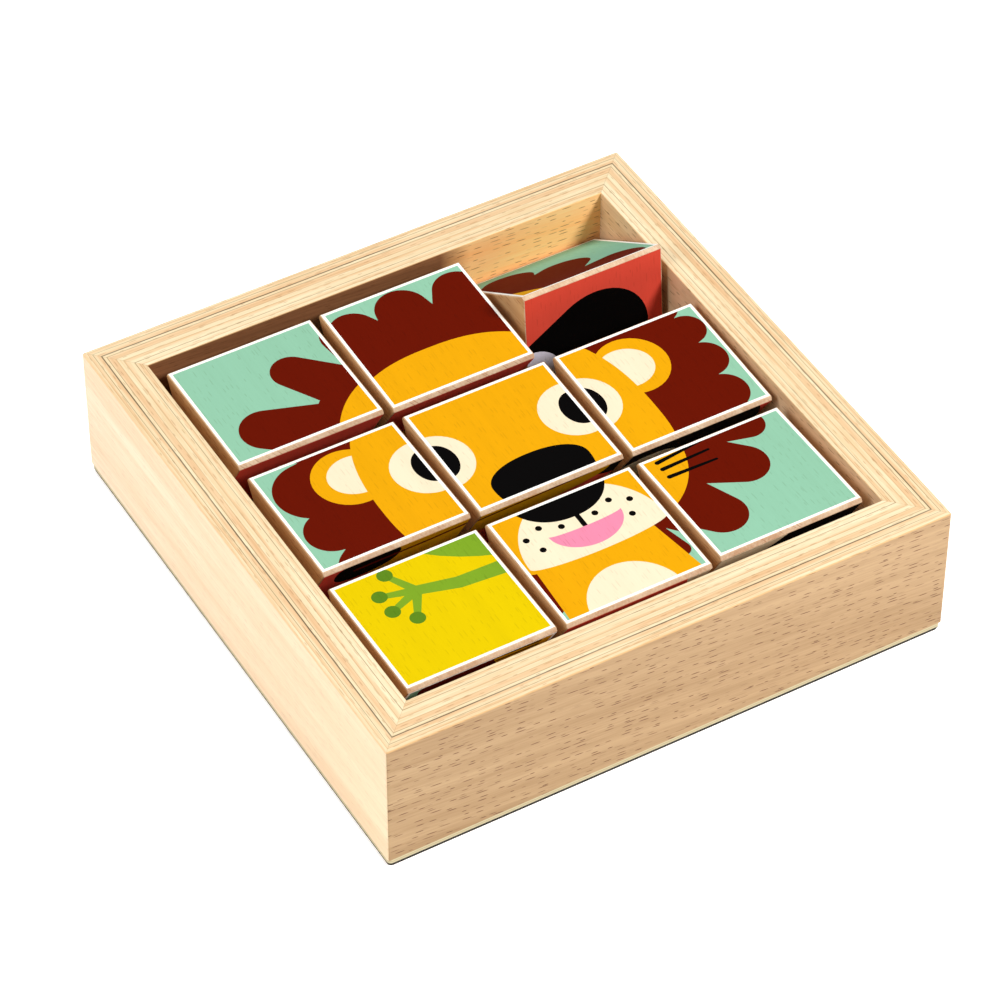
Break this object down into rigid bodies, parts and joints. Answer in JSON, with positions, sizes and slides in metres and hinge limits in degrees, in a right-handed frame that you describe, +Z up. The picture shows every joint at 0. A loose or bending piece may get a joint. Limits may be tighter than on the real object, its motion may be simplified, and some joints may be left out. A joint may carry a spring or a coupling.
{
  "type": "turning block puzzle",
  "caption": "Square wooden tray of three-sided printed blocks that turn on axles, so that each of their sides in turn makes up a picture.",
  "frame": {"origin": "middle of the tray's underside", "axes": "+X along the front wall, +Y towards the back wall, +Z up"},
  "size_m": [0.21, 0.21, 0.0635],
  "materials": {
    "tray_wall": "satin",
    "base_panel": "matte",
    "axle": "matte",
    "spacer": "matte",
    "block": "satin",
    "printed_picture": "satin print on wood"
  },
  "bodies": {
    "tray": {"front_wall": "tray_wall", "back_wall": "tray_wall", "left_wall": "tray_wall", "right_wall": "tray_wall", "base_panel": "base_panel", "front_axle": "axle", "middle_axle": "axle", "back_axle": "axle", "front_left_spacer": "spacer", "front_right_spacer": "spacer", "middle_left_spacer": "spacer", "middle_right_spacer": "spacer", "back_left_spacer": "spacer", "back_right_spacer": "spacer"},
    "block_front_left": {"block_front_left": "block"},
    "block_front_centre": {"block_front_centre": "block"},
    "block_front_right": {"block_front_right": "block"},
    "block_middle_left": {"block_middle_left": "block"},
    "block_middle_centre": {"block_middle_centre": "block"},
    "block_middle_right": {"block_middle_right": "block"},
    "block_back_left": {"block_back_left": "block"},
    "block_back_centre": {"block_back_centre": "block"},
    "block_back_right": {"block_back_right": "block"}
  },
  "joints": [
    {"name": "turn_front_left", "type": "hinge", "parent": "tray", "child": "block_front_left", "pos_m": [-0.0583, -0.0578, 0.0362], "axis": [1, 0, 0], "continuous": true},
    {"name": "turn_front_centre", "type": "hinge", "parent": "tray", "child": "block_front_centre", "pos_m": [-0.0005, -0.0578, 0.0362], "axis": [1, 0, 0], "continuous": true},
    {"name": "turn_front_right", "type": "hinge", "parent": "tray", "child": "block_front_right", "pos_m": [0.0573, -0.0578, 0.0362], "axis": [1, 0, 0], "continuous": true},
    {"name": "turn_middle_left", "type": "hinge", "parent": "tray", "child": "block_middle_left", "pos_m": [-0.0567, 0, 0.0362], "axis": [1, 0, 0], "continuous": true},
    {"name": "turn_middle_centre", "type": "hinge", "parent": "tray", "child": "block_middle_centre", "pos_m": [0.0011, 0, 0.0362], "axis": [1, 0, 0], "continuous": true},
    {"name": "turn_middle_right", "type": "hinge", "parent": "tray", "child": "block_middle_right", "pos_m": [0.0589, 0, 0.0362], "axis": [1, 0, 0], "continuous": true},
    {"name": "turn_back_left", "type": "hinge", "parent": "tray", "child": "block_back_left", "pos_m": [-0.0569, 0.0578, 0.0362], "axis": [1, 0, 0], "continuous": true},
    {"name": "turn_back_centre", "type": "hinge", "parent": "tray", "child": "block_back_centre", "pos_m": [0.0009, 0.0578, 0.0362], "axis": [1, 0, 0], "continuous": true},
    {"name": "turn_back_right", "type": "hinge", "parent": "tray", "child": "block_back_right", "pos_m": [0.0587, 0.0578, 0.0362], "axis": [1, 0, 0], "continuous": true}
  ]
}
